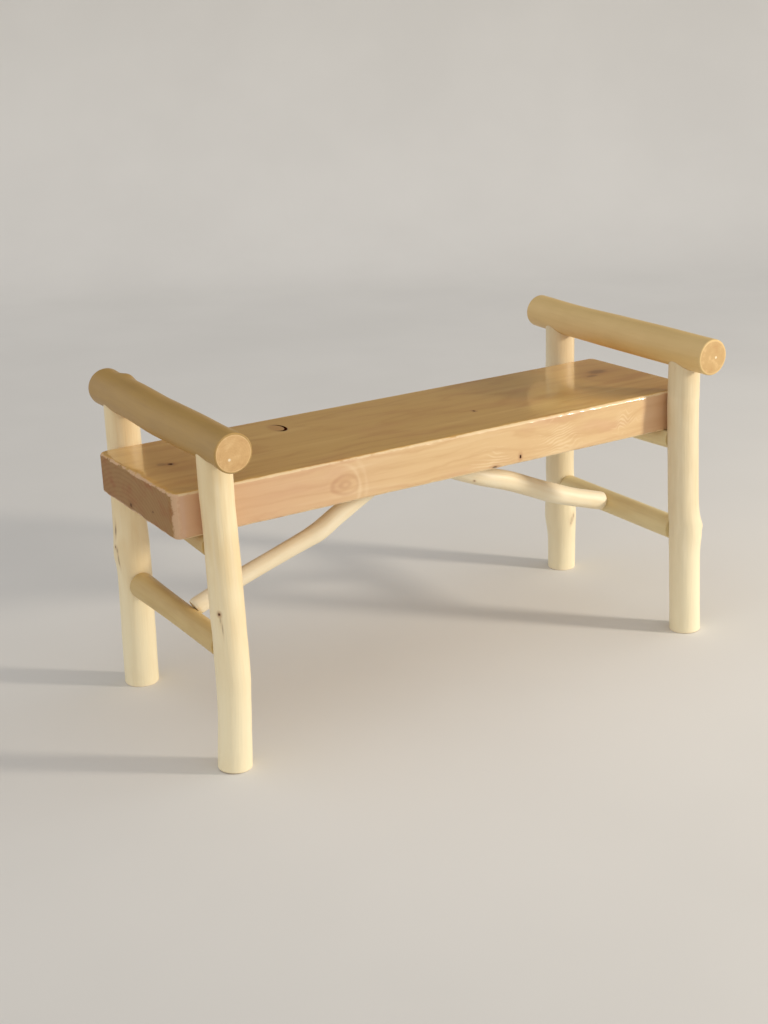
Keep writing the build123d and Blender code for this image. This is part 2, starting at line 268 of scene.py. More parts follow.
def zigzag(tree, value, unit, height=0.5):
    """Count a growing value in units, and fold the count to and fro between 0 and a height."""
    count = add(tree, "ShaderNodeMath", (value, unit), operation="DIVIDE")
    return add(tree, "ShaderNodeMath", (count, height), operation="PINGPONG")


def waves(tree, value, length):
    """Turn a growing value into even waves between -1 and 1, of a length in metres."""
    turns = add(tree, "ShaderNodeMath", (value, 2 * math.pi / length), operation="MULTIPLY")
    return add(tree, "ShaderNodeMath", (turns,), operation="SINE")


def apart(tree, value, middle):
    """How far a value is from a middle one, either way."""
    past = add(tree, "ShaderNodeMath", (value, middle), operation="SUBTRACT")
    return add(tree, "ShaderNodeMath", (past,), operation="ABSOLUTE")


def draw_knot(tree, wood, reach, fray, size, darkness, halo, heart):
    """Draw a knot: a brown halo and a dark heart, both frayed along the grain."""
    frayed = weighted_sum(tree, reach, (fray, size * 0.6 * MM))
    return stain(
        tree,
        wood,
        (halo, frayed, size * 2.3 * MM, size * 0.7 * MM, 0.6 * darkness),
        (heart, frayed, size * 1.15 * MM, size * 0.6 * MM, darkness),
    )


def finish_wood(tree, colour, relief, depth, roughness, coat, coat_roughness):
    """Give wood its colour, fine relief and clear coat. Dark open wood takes no shine."""
    bump = add(tree, "ShaderNodeBump", {"Strength": 1.0, "Distance": depth, "Height": relief})
    grey = add(tree, "ShaderNodeRGBToBW", (colour,))
    closed = add(
        tree,
        "ShaderNodeMapRange",
        {"Value": grey, "From Min": 0.03, "From Max": 0.14, "To Min": 0.0, "To Max": 1.0},
    )
    shine = add(tree, "ShaderNodeMath", (closed, 0.5), operation="MULTIPLY")
    coated = add(tree, "ShaderNodeMath", (closed, coat), operation="MULTIPLY")
    wood = add(
        tree,
        "ShaderNodeBsdfPrincipled",
        {
            "Base Color": colour,
            "Roughness": roughness,
            "IOR": 1.5,
            "Specular IOR Level": shine,
            "Coat Weight": coated,
            "Coat Roughness": coat_roughness,
            "Normal": bump,
        },
    )
    add(tree, "ShaderNodeOutputMaterial", {"Surface": wood})


# Logs


class Log(NamedTuple):
    """A log's line and thickness in millimetres.

    run is "Z" for an upright log, "Y" for one from front to back and "X" for a
    brace. Each station is (place along the run, the other two coordinates in
    order, radius). The two ends are eased by their own radii. Each knot is (place,
    angle round the log in degrees, size, rise of the wood over it, darkness, times
    longer along the log).
    """

    node: str
    run: str
    stations: list
    eased_ends: tuple = (1.6, 1.6)
    knots: tuple = ()

    @property
    def axis(self):
        """The axis of the run, by number."""
        return "XYZ".index(self.run)


def upright(node, x, y, stations, knots=()):
    """A leg, whose stations drift off a plumb line at (x, y)."""
    placed = [(height, x + dx, y + dy, radius) for height, dx, dy, radius in stations]
    return Log(node, "Z", placed, eased_ends=(2.0, 0.0), knots=knots)


FRONT_LEFT_LEG = upright(
    "front_left_leg",
    LEFT_LEG_X,
    -177.2,
    [
        (0.0, -9.8, -15.2, 27.6), (30.0, -7.6, -14.7, 27.4), (60.0, -5.4, -14.2, 26.9),
        (90.0, -3.0, -13.2, 26.7), (120.0, -1.4, -12.2, 26.8), (150.0, 0.0, -11.2, 27.4),
        (187.0, 0.3, -10.0, 27.5), (225.0, 0.7, -8.5, 26.9), (250.0, 0.5, -7.5, 27.4),
        (340.0, 0.8, -3.9, 27.1), (385.0, 0.8, -2.3, 26.5), (430.0, 0.1, -0.8, 26.4),
        (452.0, 0.0, 0.0, 26.8), (532.0, 0.0, 0.0, 26.8),
    ],
    knots=(
        (267.0, -142.5, 3.4, 0.4, 0.95, 1.0), (258.0, -141.0, 1.8, 0.0, 0.30, 4.0),
        (243.0, -136.0, 1.5, 0.0, 0.35, 8.0),
    ),
)
BACK_LEFT_LEG = upright(
    "back_left_leg",
    LEFT_LEG_X,
    179.0,
    [
        (0.0, -1.3, 18.9, 30.3), (60.0, -0.4, 17.7, 30.2), (90.0, -0.1, 16.5, 30.4),
        (120.0, 0.4, 15.3, 29.9), (205.0, 1.4, 11.6, 30.0), (225.0, 0.8, 10.6, 30.4),
        (250.0, -1.1, 9.3, 31.6), (280.0, -0.6, 7.9, 30.4), (320.0, -1.3, 6.0, 28.8),
        (430.0, 0.1, 0.9, 29.0), (452.0, 0.1, 0.0, 29.0), (532.0, 0.2, 0.0, 28.6),
    ],
    knots=(
        (274.0, -158.0, 5.5, 1.8, 0.0, 1.0), (267.0, -171.0, 3.2, 0.0, 0.9, 1.0),
        (262.0, -163.0, 3.0, 0.0, 0.4, 2.0), (297.0, -169.0, 2.6, 0.0, 0.6, 5.0),
        (243.0, -161.0, 2.2, 0.0, 0.4, 6.0),
    ),
)
FRONT_RIGHT_LEG = upright(
    "front_right_leg",
    RIGHT_LEG_X,
    -178.7,
    [
        (0.0, -5.0, -27.7, 28.7), (60.0, -5.9, -26.0, 28.3), (90.0, -5.7, -24.2, 28.4),
        (120.0, -5.2, -22.4, 28.3), (150.0, -4.5, -20.5, 28.4), (170.0, -3.7, -19.3, 29.3),
        (187.0, -2.1, -18.3, 30.2), (205.0, -1.8, -17.0, 29.7), (225.0, -4.3, -15.5, 28.8),
        (250.0, -5.1, -13.7, 28.2), (280.0, -4.6, -11.5, 28.1), (340.0, -3.3, -7.2, 28.1),
        (385.0, -2.7, -4.2, 28.1), (430.0, -1.7, -1.4, 28.4), (452.0, 0.0, 0.0, 28.4),
        (532.0, 0.0, 0.0, 28.4),
    ],
    knots=(
        (203.0, -35.0, 2.6, 2.3, 0.0, 1.0), (207.0, -168.0, 4.0, 0.7, 0.0, 1.0),
        (206.0, -100.0, 6.0, 0.5, 0.0, 0.8),
    ),
)
BACK_RIGHT_LEG = upright(
    "back_right_leg",
    RIGHT_LEG_X,
    178.8,
    [
        (0.0, 17.1, 14.4, 28.5), (30.0, 17.2, 14.0, 28.4), (60.0, 16.9, 13.6, 28.5),
        (90.0, 14.9, 12.6, 30.0), (120.0, 12.1, 11.7, 32.3), (187.0, 9.5, 9.5, 29.1),
        (225.0, 6.9, 8.1, 28.9), (250.0, 6.3, 7.1, 28.5), (330.0, 3.2, 4.0, 28.5),
        (410.0, 0.1, 1.4, 28.8), (430.0, -0.6, 0.7, 28.8), (452.0, 0.0, 0.0, 28.5),
        (532.0, 0.0, 0.0, 28.5),
    ],
    knots=(
        (114.0, -83.0, 6.0, 0.6, 0.22, 1.4), (121.0, -74.0, 4.0, 0.3, 0.35, 1.6),
        (106.0, -88.0, 2.6, 0.0, 0.30, 2.0),
    ),
)
LEFT_RAIL = Log(
    "left_top_rail",
    "Y",
    [
        (-246.0, LEFT_LEG_X, 528.9, 31.3),
        (-236.0, LEFT_LEG_X, 529.4, 31.0),
        (-200.0, LEFT_LEG_X, 531.2, 29.7),
        (-120.0, LEFT_LEG_X, 531.0, 31.3),
        (0.0, LEFT_LEG_X, 531.0, 32.2),
        (120.0, LEFT_LEG_X, 535.2, 31.9),
        (200.0, LEFT_LEG_X, 535.6, 31.6),
        (242.0, LEFT_LEG_X, 536.4, 32.4),
    ],
    (3.0, 6.0),
    ((176.0, 57.0, 6.0, 4.8, 0.0, 1.0),),
)
RIGHT_RAIL = Log(
    "right_top_rail",
    "Y",
    [
        (-250.0, RIGHT_LEG_X, 530.5, 32.4),
        (-130.0, RIGHT_LEG_X, 532.8, 32.7),
        (0.0, RIGHT_LEG_X, 535.0, 32.5),
        (120.0, RIGHT_LEG_X, 536.7, 31.6),
        (250.0, RIGHT_LEG_X, 542.3, 31.3),
    ],
    (3.0, 6.0),
)
LEFT_RUNG = Log(
    "left_rung",
    "Y",
    [(-158.5, -468.5, 195.5, 20.8), (0.0, -468.4, 195.8, 20.5), (159.5, -468.4, 195.9, 23.2)],
)
RIGHT_RUNG = Log(
    "right_rung",
    "Y",
    [(-165.5, 469.7, 190.0, 21.8), (0.0, 474.0, 189.9, 21.7), (158.0, 478.2, 189.0, 22.5)],
)
LEFT_BEARER = Log(
    "left_seat_bearer",
    "Y",
    [(-152.0, -467.8, 360.6, 21.0), (0.0, -467.8, 367.5, 21.0), (152.0, -468.8, 366.5, 21.0)],
)
RIGHT_BEARER = Log(
    "right_seat_bearer",
    "Y",
    [(-159.5, 468.4, 364.3, 21.0), (0.0, 468.4, 362.2, 21.0), (152.0, 469.9, 364.3, 21.0)],
)
LEFT_BRACE = Log(
    "left_brace",
    "X",
    [
        (-484.0, -30.0, 202.7, 15.4), (-448.0, -30.0, 216.2, 15.4), (-372.0, -30.0, 244.7, 14.7),
        (-290.0, -30.0, 270.6, 15.0), (-240.0, -30.0, 286.0, 15.8), (-221.0, -30.0, 292.3, 16.9),
        (-180.0, -30.0, 314.8, 16.6), (-110.0, -30.0, 350.7, 15.7), (-36.0, -30.0, 389.5, 16.0),
    ],
    (0.0, 0.0),
)
RIGHT_BRACE = Log(
    "right_brace",
    "X",
    [
        (490.0, 26.0, 185.1, 18.0), (467.4, 26.0, 192.0, 18.0), (393.7, 26.0, 214.6, 17.9),
        (332.2, 26.0, 237.1, 19.1), (281.8, 26.0, 258.7, 18.4), (227.4, 26.0, 282.1, 18.8),
        (152.7, 26.0, 307.8, 17.6), (82.1, 26.0, 337.1, 16.6), (-15.0, 26.0, 389.5, 16.0),
    ],
    (0.0, 0.0),
    ((138.0, 215.0, 2.6, 0.0, 0.7, 1.0),),
)


def smooth_between(at, places, values):
    """Values between stations, on cubics that never swing past them."""
    places, values = np.asarray(places, float), np.asarray(values, float)
    if places[0] > places[-1]:
        places, values = places[::-1], values[::-1]
    steps = np.diff(places)
    rates = np.diff(values) / steps
    slopes = np.zeros(len(places))
    same_way = rates[:-1] * rates[1:] > 0
    harmonic = 2 * rates[:-1] * rates[1:] / np.where(same_way, rates[:-1] + rates[1:], 1.0)
    slopes[1:-1] = np.where(same_way, harmonic, 0.0)
    slopes[0], slopes[-1] = rates[0], rates[-1]
    index = np.clip(np.searchsorted(places, at) - 1, 0, len(steps) - 1)
    step = steps[index]
    share = (np.asarray(at, float) - places[index]) / step
    back = 1 - share
    return (
        values[index] * (1 + 2 * share) * back**2
        + values[index + 1] * (3 - 2 * share) * share**2
        + step * share * back * (back * slopes[index] - share * slopes[index + 1])
    )


def log_at(log, place):
    """The other two coordinates and the radius of a log at places along its run."""
    places = [station[0] for station in log.stations]
    return [smooth_between(place, places, [s[k] for s in log.stations]) for k in (1, 2, 3)]


def run_points(log, place, across, up):
    """Points from places along a log's run and its other two coordinates."""
    order = {"Z": (across, up, place), "Y": (across, place, up), "X": (place, across, up)}
    return np.stack(np.broadcast_arrays(*order[log.run]), axis=-1)


def middle_at(log, place):
    """Points on a log's middle line, at places along its run."""
    return run_points(log, place, *log_at(log, place)[:2])


def sweep_places(log, step):
    """Places along a log for its rings, close together where an end is eased."""
    first, last = log.stations[0][0], log.stations[-1][0]
    way = 1.0 if last > first else -1.0
    length = abs(last - first)
    inner = np.linspace(0.0, length, int(length / (step / MM)) + 2)[1:-1]
    easing = 1 - np.cos(np.linspace(0.0, math.pi / 2, 6))
    start = log.eased_ends[0] * easing if log.eased_ends[0] else np.array([0.0])
    end = length - (log.eased_ends[1] * easing if log.eased_ends[1] else np.array([0.0]))
    inner = inner[(inner > start.max() + 1.0) & (inner < end.min() - 1.0)]
    return first + way * np.concatenate([start, inner, end[::-1]])


def sweep_radii(log, places):
    """The radii of a log's rings, smaller where an end is eased."""
    radii = log_at(log, places)[2]
    for end, easing in zip((log.stations[0][0], log.stations[-1][0]), log.eased_ends):
        if easing:
            depth = np.clip(np.abs(places - end) / easing, 0.0, 1.0)
            radii = radii - easing * (1 - np.sqrt(1 - (1 - depth) ** 2))
    return radii


def peeled_log_tree():
    """Geometry nodes that sweep a log along its line and leave a drawknife's flats on it."""
    tree = bpy.data.node_groups.new("Peeled Log", "GeometryNodeTree")
    inputs = (
        ("Geometry", "Geometry"),
        ("Sides", "Int"),
        ("Flat Depth", "Float"),
        ("Flat Size", "Vector"),
        ("Seed", "Float"),
        ("Wood", "Material"),
    )
    for name, kind in inputs:
        tree.interface.new_socket(name, in_out="INPUT", socket_type="NodeSocket" + kind)
    tree.interface.new_socket("Geometry", in_out="OUTPUT", socket_type="NodeSocketGeometry")
    sizes = add(tree, "NodeGroupInput").outputs
    ring = add(
        tree, "GeometryNodeCurvePrimitiveCircle", {"Resolution": sizes["Sides"], "Radius": 1.0}
    )
    swept = add(
        tree,
        "GeometryNodeCurveToMesh",
        {
            "Curve": sizes["Geometry"],
            "Profile Curve": ring,
            "Scale": add(tree, "GeometryNodeInputRadius"),
            "Fill Caps": True,
        },
    )
    place = add(
        tree,
        "ShaderNodeVectorMath",
        (add(tree, "GeometryNodeInputPosition"), sizes["Flat Size"]),
        operation="DIVIDE",
    )
    flats = add(
        tree,
        "ShaderNodeTexNoise",
        {"Vector": place, "W": sizes["Seed"], "Scale": 1.0, "Detail": 1.5, "Roughness": 0.55},
        noise_dimensions="4D",
    )
    centred = add(tree, "ShaderNodeMath", (flats, 0.5), operation="SUBTRACT")
    depth = add(tree, "ShaderNodeMath", (centred, sizes["Flat Depth"]), operation="MULTIPLY")
    offset = add(
        tree,
        "ShaderNodeVectorMath",
        {0: add(tree, "GeometryNodeInputNormal"), "Scale": depth},
        operation="SCALE",
    )
    shaved = add(tree, "GeometryNodeSetPosition", {"Geometry": swept, "Offset": offset})
    smooth = add(tree, "GeometryNodeSetShadeSmooth", {"Geometry": shaved})
    real = add(tree, "GeometryNodeRealizeInstances", {"Geometry": smooth})
    dressed = add(tree, "GeometryNodeSetMaterial", {"Geometry": real, "Material": sizes["Wood"]})
    add(tree, "NodeGroupOutput", {"Geometry": dressed})
    return tree


def shared_log_tree():
    """The sweep's node tree, made once for all the logs."""
    return bpy.data.node_groups.get("Peeled Log") or peeled_log_tree()


def sweep(log, seed, material, tenoned):
    """Sweep a log's mesh. Returns the mesh and its vertices as rings, in millimetres.

    A tenoned log has a round tenon past a flat shoulder at both ends.
    """
    look = bpy.context.scene.bench_logs
    places = sweep_places(log, look.ring_step)
    radii = sweep_radii(log, places)
    points = middle_at(log, places)
    if tenoned:
        steps = (SHOULDER_STEP, TENON_LENGTH / 2, TENON_LENGTH)
        stub = np.array([(0.0, step, 0.0) for step in steps])
        points = np.concatenate([(points[0] - stub)[::-1], points, points[-1] + stub])
        radii = np.pad(radii, len(steps), constant_values=TENON_RADIUS)
    line = bpy.data.curves.new(log.node, "CURVE")
    line.dimensions = "3D"
    spline = line.splines.new("POLY")
    spline.points.add(len(points) - 1)
    spline.points.foreach_set("co", np.column_stack([points * MM, np.ones(len(points))]).ravel())
    spline.points.foreach_set("radius", radii * MM)
    carrier = bpy.data.objects.new(log.node, line)
    bpy.context.scene.collection.objects.link(carrier)
    modifier = carrier.modifiers.new("Peeled Log", "NODES")
    modifier.node_group = shared_log_tree()
    wide, long = look.flat_width, look.flat_length
    size = {"Z": (wide, wide, long), "Y": (wide, long, wide), "X": (long, wide, wide * 1.6)}
    values = {
        "Sides": look.sides,
        "Flat Depth": look.flat_depth,
        "Flat Size": size[log.run],
        "Seed": float(seed),
        "Wood": material,
    }
    for item in modifier.node_group.interface.items_tree:
        if item.in_out == "INPUT" and item.name in values:
            modifier[item.identifier] = values[item.name]
    graph = bpy.context.evaluated_depsgraph_get()
    mesh = bpy.data.meshes.new_from_object(carrier.evaluated_get(graph))
    bpy.data.objects.remove(carrier)
    coords = np.empty(len(mesh.vertices) * 3)
    mesh.vertices.foreach_get("co", coords)
    return mesh, coords.reshape(len(points), look.sides, 3) / MM


def raise_knots(log, rings):
    """Swell the wood over each knot, further along the log than across it."""
    for place, angle, size, rise, _, _ in log.knots:
        spread = np.full(3, size * 1.3)
        spread[log.axis] = size * 2.2
        away = (rings - knot_point(log, place, angle)) / spread
        bulge = rise * np.exp(-(away**2).sum(axis=-1) / 2)
        outward = rings - middle_at(log, rings[..., log.axis])
        length = np.linalg.norm(outward, axis=-1, keepdims=True)
        rings += outward / np.maximum(length, 1e-6) * bulge[..., None]
    return rings


def knot_point(log, place, angle):
    """Where a knot is on a log's surface."""
    across, up, radius = log_at(log, place)
    turn = math.radians(angle)
    return run_points(log, place, across + radius * math.cos(turn), up + radius * math.sin(turn))


def start_log(log, seed, looks, pith, tenoned=False):
    """Make a log's side and end materials and its mesh. Returns mesh, rings and end material.

    The looks are the wood and streaks of its side, and the wood and rings of its ends.
    """
    wood, streak, sawn, ring = looks
    side = peeled_material(log, wood, streak, seed)
    end = sawn_end_material(log, sawn, ring, pith, seed)
    mesh, rings = sweep(log, seed, side, tenoned)
    return mesh, raise_knots(log, rings), end


def finish_log(log, mesh, rings, end_material):
    """Put a log's vertices back, mark its sawn ends and grain, and make it a piece."""
    flat = rings.reshape(-1, 3)
    mesh.vertices.foreach_set("co", (flat * MM).ravel())
    places = flat[:, log.axis]
    local = np.delete(flat - middle_at(log, places), log.axis, axis=1)
    grain = np.column_stack([local, places]) * MM
    attribute = mesh.attributes.new("grain", "FLOAT_VECTOR", "POINT")
    attribute.data.foreach_set("vector", grain.ravel())
    mesh.materials.append(end_material)
    # Only the sawn ends have more than four corners.
    for polygon in mesh.polygons:
        if polygon.loop_total > 4:
            polygon.material_index = 1
    mesh.update()
    mesh.set_sharp_from_angle(angle=math.radians(38))
    piece = bpy.data.objects.new("peeled_" + log.node, mesh)
    bpy.context.scene.collection.objects.link(piece)
    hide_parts(log.node)
    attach(piece, "root")


def cope_top(rings, rail):
    """Slide a leg's top along it until its rim lies under the rail, less and less below."""
    rim = rings[-1]
    across, up, radius = log_at(rail, rim[:, 1])
    reach = np.sqrt(np.maximum((radius + BEARING_GAP) ** 2 - (rim[:, 0] - across) ** 2, 0.0))
    move = up - reach - rim[:, 2]
    away = np.abs(rings[..., 2] - rim[:, 2])
    rings[..., 2] += np.clip(1 - away / COPE_FADE, 0.0, 1.0) * move
    return rings


def cut_brace(rings, end, facing, origin):
    """Cut one end of a brace by a plane, drawing its rings back along their own lines."""
    # The last 26 rings share out the way that the end goes back.
    count = 26
    order = range(count, -1, -1) if end == 0 else range(-count - 1, 0)
    away = rings[order[0]]
    lines = rings[order[-1]] - away
    reach = ((origin - away) @ facing) / (lines @ facing)
    for step, index in enumerate(order):
        share = step / count
        rings[index] = away + lines * (reach * share)[:, None]
    return rings


# Materials


def sawn_end_material(log, end_wood, end_ring, pith, seed):
    """Pine end grain, sawn: faint rings round an off-centre pith and a pale eased rim."""
    look = bpy.context.scene.bench_logs
    material, tree = new_material("Pine end, sawn, " + log.node.replace("_", " "))
    grain = add(tree, "ShaderNodeAttribute", attribute_name="grain").outputs["Vector"]
    radius = log.stations[0][3]
    from_pith = distance_from(tree, grain, (*pith, 0.0), (1.0, 1.0, 0.0))
    from_middle = distance_from(tree, grain, (0.0, 0.0, 0.0), (1.0, 1.0, 0.0))
    wander = grain_pattern(tree, grain, (18.0, 18.0, 900.0), seed, detail=2.0)
    # Real rings lie 2 mm apart, drawn 3.6 mm apart so that they show.
    ring = waves(tree, weighted_sum(tree, from_pith, (wander, 0.005)), 0.0036)
    blotches = grain_pattern(tree, grain, (13.0, 13.0, 900.0), seed + 9.0, detail=4.0)
    pores = grain_pattern(tree, grain, (1.8, 1.8, 900.0), seed + 3.0, detail=2.0)
    edge = weighted_sum(tree, from_middle, (wander, 0.002))
    wood = stain(
        tree,
        end_wood,
        (end_ring, ring, 0.0, 1.0, 0.10),
        (end_ring, blotches, 0.48, 0.70, 0.35),
        (look.end_rim, blotches, 0.48, 0.30, 0.35),
        (end_ring, pores, 0.50, 0.80, 0.30),
        (look.end_rim, edge, (radius - 4.2) * MM, (radius - 1.2) * MM, 0.8),
        (look.pale, from_pith, 0.0030, 0.0012, 0.9),
    )
    finish_wood(tree, wood, pores, 0.00020, 0.6, 0.08, 0.35)
    return material


def peeled_material(log, wood, streak, seed):
    """Pine pole, drawknifed and oiled: pale sapwood with long soft streaks, dull satin."""
    look = bpy.context.scene.bench_logs
    material, tree = new_material("Pine pole, drawknifed, " + log.node.replace("_", " "))
    grain = add(tree, "ShaderNodeAttribute", attribute_name="grain").outputs["Vector"]
    patches = grain_pattern(tree, grain, (50.0, 50.0, 110.0), seed, detail=2.0)
    streaks = grain_pattern(tree, grain, (9.0, 9.0, 130.0), seed + 2.0, detail=4.0)
    # Real fibres are under 1 mm wide, drawn 2.5 mm wide so that they show.
    fibres = grain_pattern(tree, grain, (2.5, 2.5, 60.0), seed + 4.0)
    flecks = grain_pattern(tree, grain, (10.0, 10.0, 70.0), seed + 7.0, detail=5.0)
    colour = stain(
        tree,
        wood,
        (streak, patches, 0.34, 0.70, 0.50),
        (streak, streaks, 0.44, 0.72, 0.40),
        (streak, fibres, 0.50, 0.80, 0.20),
        (look.bark, flecks, 0.66, 0.80, 0.30),
    )
    if log.run != "Y":
        colour = stain(tree, colour, (look.pale, streaks, 0.46, 0.30, 0.30))
    if log.run == "Z":
        # Painted light: a leg is painted whiter toward its foot, as though more light reached its
        # low part, and its foot's edge is bare.
        height = add(tree, "ShaderNodeSeparateXYZ", (grain,)).outputs["Z"]
        painted_low_light = (look.foot_painted_light, height, 0.36, 0.04, 0.60)
        colour = stain(tree, colour, painted_low_light, (look.pale, height, 0.0040, 0.0015, 0.8))
    for place, angle, size, _, darkness, longer in log.knots:
        if darkness:
            away = knot_point(log, place, angle) - middle_at(log, place)
            heart = (*np.delete(away, log.axis), place)
            reach = distance_from(tree, grain, heart, (1.0, 1.0, 0.8 / longer))
            colour = draw_knot(tree, colour, reach, fibres, size, darkness, look.bark, look.knot)
    relief = add(tree, "ShaderNodeMath", (fibres, streaks), operation="ADD")
    finish_wood(tree, colour, relief, 0.0004, 0.5, 0.2, 0.35)
    return material


def plank_material():
    """Flat-sawn pine, planed and varnished: soft arched figure, knots, and a clear gloss."""
    look = bpy.context.scene.bench_plank
    material, tree = new_material("Pine plank, flat-sawn and varnished")
    place = add(tree, "ShaderNodeTexCoord").outputs["Object"]
    normal = add(tree, "ShaderNodeNewGeometry").outputs["True Normal"]
    facing = add(tree, "ShaderNodeSeparateXYZ", (normal,)).outputs
    endward = add(tree, "ShaderNodeMath", (facing["X"],), operation="ABSOLUTE")
    # The tree's heart ran along under the plank, so its rings arch over the ends and
    # wander along the faces.
    heart_reach = distance_from(tree, place, (0.0, 35.0, 235.0), (0.012, 1.0, 1.0))
    ripple = grain_pattern(tree, place, (95.0, 34.0, 34.0), 17.0)
    fibres = grain_pattern(tree, place, (110.0, 3.2, 3.2), 23.0, detail=4.0)
    torn = grain_pattern(tree, place, (34.0, 30.0, 12.0), 41.0, detail=2.0)
    colour = face_figure(tree, place, look, heart_reach, ripple, fibres)
    colour = torn_figure(tree, place, look, colour, torn)
    colour = swirl_knot(tree, place, look, colour, ripple)
    # The front's blush is partly pinker wood and partly painted shadow of the front legs.
    colour = front_blush_and_leg_shadows(tree, place, look, colour, facing["Z"])

    # The sawn ends show the rings as smooth arches, at half the spacing.
    arches = weighted_sum(tree, heart_reach, (ripple, 0.008))
    arches = zigzag(tree, arches, look.ring_spacing, 0.25)
    arched = stain(tree, colour, (look.swirl, arches, 0.06, 0.24, 0.28))
    colour = stain(tree, colour, (arched, endward, 0.5, 0.9, 1.0))

    colour = small_knots(tree, place, look, colour, fibres)
    colour = open_knot(tree, place, look, colour)

    # Painted shade: the top is darkened as though little light falls on it. The sawn ends are
    # darkened partly because end grain drinks more varnish, and partly as painted shade.
    soaked = grain_pattern(tree, place, (60.0, 42.0, 30.0), 33.0, detail=4.0)
    ends = stain(tree, look.ends, (look.swirl, soaked, 0.42, 0.72, 0.55))
    for amount, tint in ((facing["Z"], look.top), (endward, ends)):
        darker = add(
            tree,
            "ShaderNodeMix",
            {0: 1.0, 6: colour, 7: tint},
            data_type="RGBA",
            blend_type="MULTIPLY",
        )
        colour = stain(tree, colour, (darker, amount, 0.4, 0.95, 1.0))

    # The wear comes and goes along an edge, and is broken into small nicks. Its pale colour is
    # partly wear and partly a painted highlight along the eased edges.
    rubbed = grain_pattern(tree, place, (110.0, 60.0, 60.0), 37.0, detail=2.0)
    nicks = grain_pattern(tree, place, (13.0, 6.0, 6.0), 31.0, detail=4.0)
    broken = weighted_sum(tree, -1.8, (rubbed, 2.6), (nicks, 2.2))
    edge = add(tree, "ShaderNodeAttribute", attribute_name="eased_edge").outputs["Fac"]
    worn_and_highlit = add(tree, "ShaderNodeMath", (edge, broken), operation="MULTIPLY")
    bare_and_highlit = stain(tree, look.worn_and_highlit, (look.blush_and_shade, endward, 0.10, 0.50, 0.65))
    colour = stain(tree, colour, (bare_and_highlit, worn_and_highlit, 0.10, 0.38, 0.75))
    # The ends and the worn edges keep hardly any coat.
    dry = weighted_sum(tree, endward, (worn_and_highlit, 2.5))
    coat, roughness = (
        add(
            tree,
            "ShaderNodeMapRange",
            {"Value": dry, "From Min": 0.3, "From Max": 0.9, "To Min": coated, "To Max": bared},
            interpolation_type="SMOOTHSTEP",
        )
        for coated, bared in ((1.0, 0.05), (0.34, 0.65))
    )
    relief = weighted_sum(tree, fibres, (torn, 0.3))
    finish_wood(tree, colour, relief, 0.00008, roughness, coat, 0.12)
    return material


def face_figure(tree, place, look, heart_reach, ripple, fibres):
    """The figure of a flat-sawn face: broad arches, bands and fine fibres."""
    wander = grain_pattern(tree, place, (420.0, 150.0, 150.0), 11.0, detail=2.0)
    bands = grain_pattern(tree, place, (320.0, 22.0, 22.0), 27.0)
    blotches = grain_pattern(tree, place, (150.0, 60.0, 45.0), 29.0)
    bent = weighted_sum(tree, heart_reach, (wander, 0.085), (ripple, 0.022))
    # A year's growth is 3 mm to 5 mm thick, and is drawn coarser so that it shows.
    ring = zigzag(tree, bent, look.ring_spacing)
    shown = add(tree, "ShaderNodeMath", (ring, blotches), operation="MULTIPLY")
    return stain(
        tree,
        look.early,
        (look.late, shown, 0.11, 0.30, 0.55),
        (look.late, bands, 0.46, 0.70, 0.45),
        (look.pale, bands, 0.46, 0.28, 0.35),
        (look.late, fibres, 0.48, 0.80, 0.30),
        (look.blush_and_shade, blotches, 0.50, 0.72, 0.35),
    )


def torn_figure(tree, place, look, colour, torn):
    """Torn, curly grain in three clusters on the front: wavy pale strokes 7 mm apart."""
    height = add(tree, "ShaderNodeSeparateXYZ", (place,)).outputs["Z"]
    clusters = (
        # (place, half its length in mm, length of a curl in mm, rise of a curl in m)
        ((352.0, -150.0, 416.0), 58.0, 34.0, 0.090),
        ((210.0, -150.0, 402.0), 95.0, 62.0, 0.070),
        ((60.0, -150.0, 392.0), 70.0, 80.0, 0.060),
    )
    for centre, spread, length, rise in clusters:
        curls = grain_pattern(tree, place, (length, 60.0, 60.0), 37.0 + length, detail=1.5)
        stroke = zigzag(tree, weighted_sum(tree, height, (curls, rise)), 0.007)
        near = distance_from(tree, place, centre, (0.75, 1.0, 1.0))
        side = add(tree, "ShaderNodeMath", (near, spread * MM), operation="DIVIDE")
        shown = add(tree, "ShaderNodeMath", (stroke, side), operation="ADD")
        shown = add(tree, "ShaderNodeMath", (shown, torn), operation="ADD")
        colour = stain(tree, colour, (look.pale, shown, 1.10, 0.50, 0.48))
    return colour


def swirl_knot(tree, place, look, colour, ripple):
    """The sound knot on the front: soft rings, and paler wood flowing round it."""
    swirl = distance_from(tree, place, (-229.0, -150.0, 410.0), (0.47, 1.0, 0.76))
    swirl = weighted_sum(tree, swirl, (ripple, 0.010))
    inner = weighted_sum(tree, 1.9, (swirl, -80.0))
    inner = add(tree, "ShaderNodeMath", (inner, 0.6), operation="MINIMUM")
    # The rings are darker on the left, and the pale flow shows on the right.
    left = distance_from(tree, place, (-246.0, -150.0, 412.0))
    inked = weighted_sum(tree, inner, (waves(tree, swirl, 0.0075), 0.3), (left, -14.0))
    colour = stain(tree, colour, (look.swirl, inked, -0.25, 1.05, 0.62))
    heart = distance_from(tree, place, (-236.0, -150.0, 402.0), (1.0, 1.0, 0.8))
    right = distance_from(tree, place, (-196.0, -150.0, 425.0), (1.0, 1.0, 0.8))
    for distance, most in ((0.034, 0.42), (0.047, 0.22)):
        flow = apart(tree, heart, distance)
        flow = weighted_sum(tree, flow, (right, 0.09), (ripple, 0.014))
        colour = stain(tree, colour, (look.pale, flow, 0.0135, 0.0070, most))
    return colour


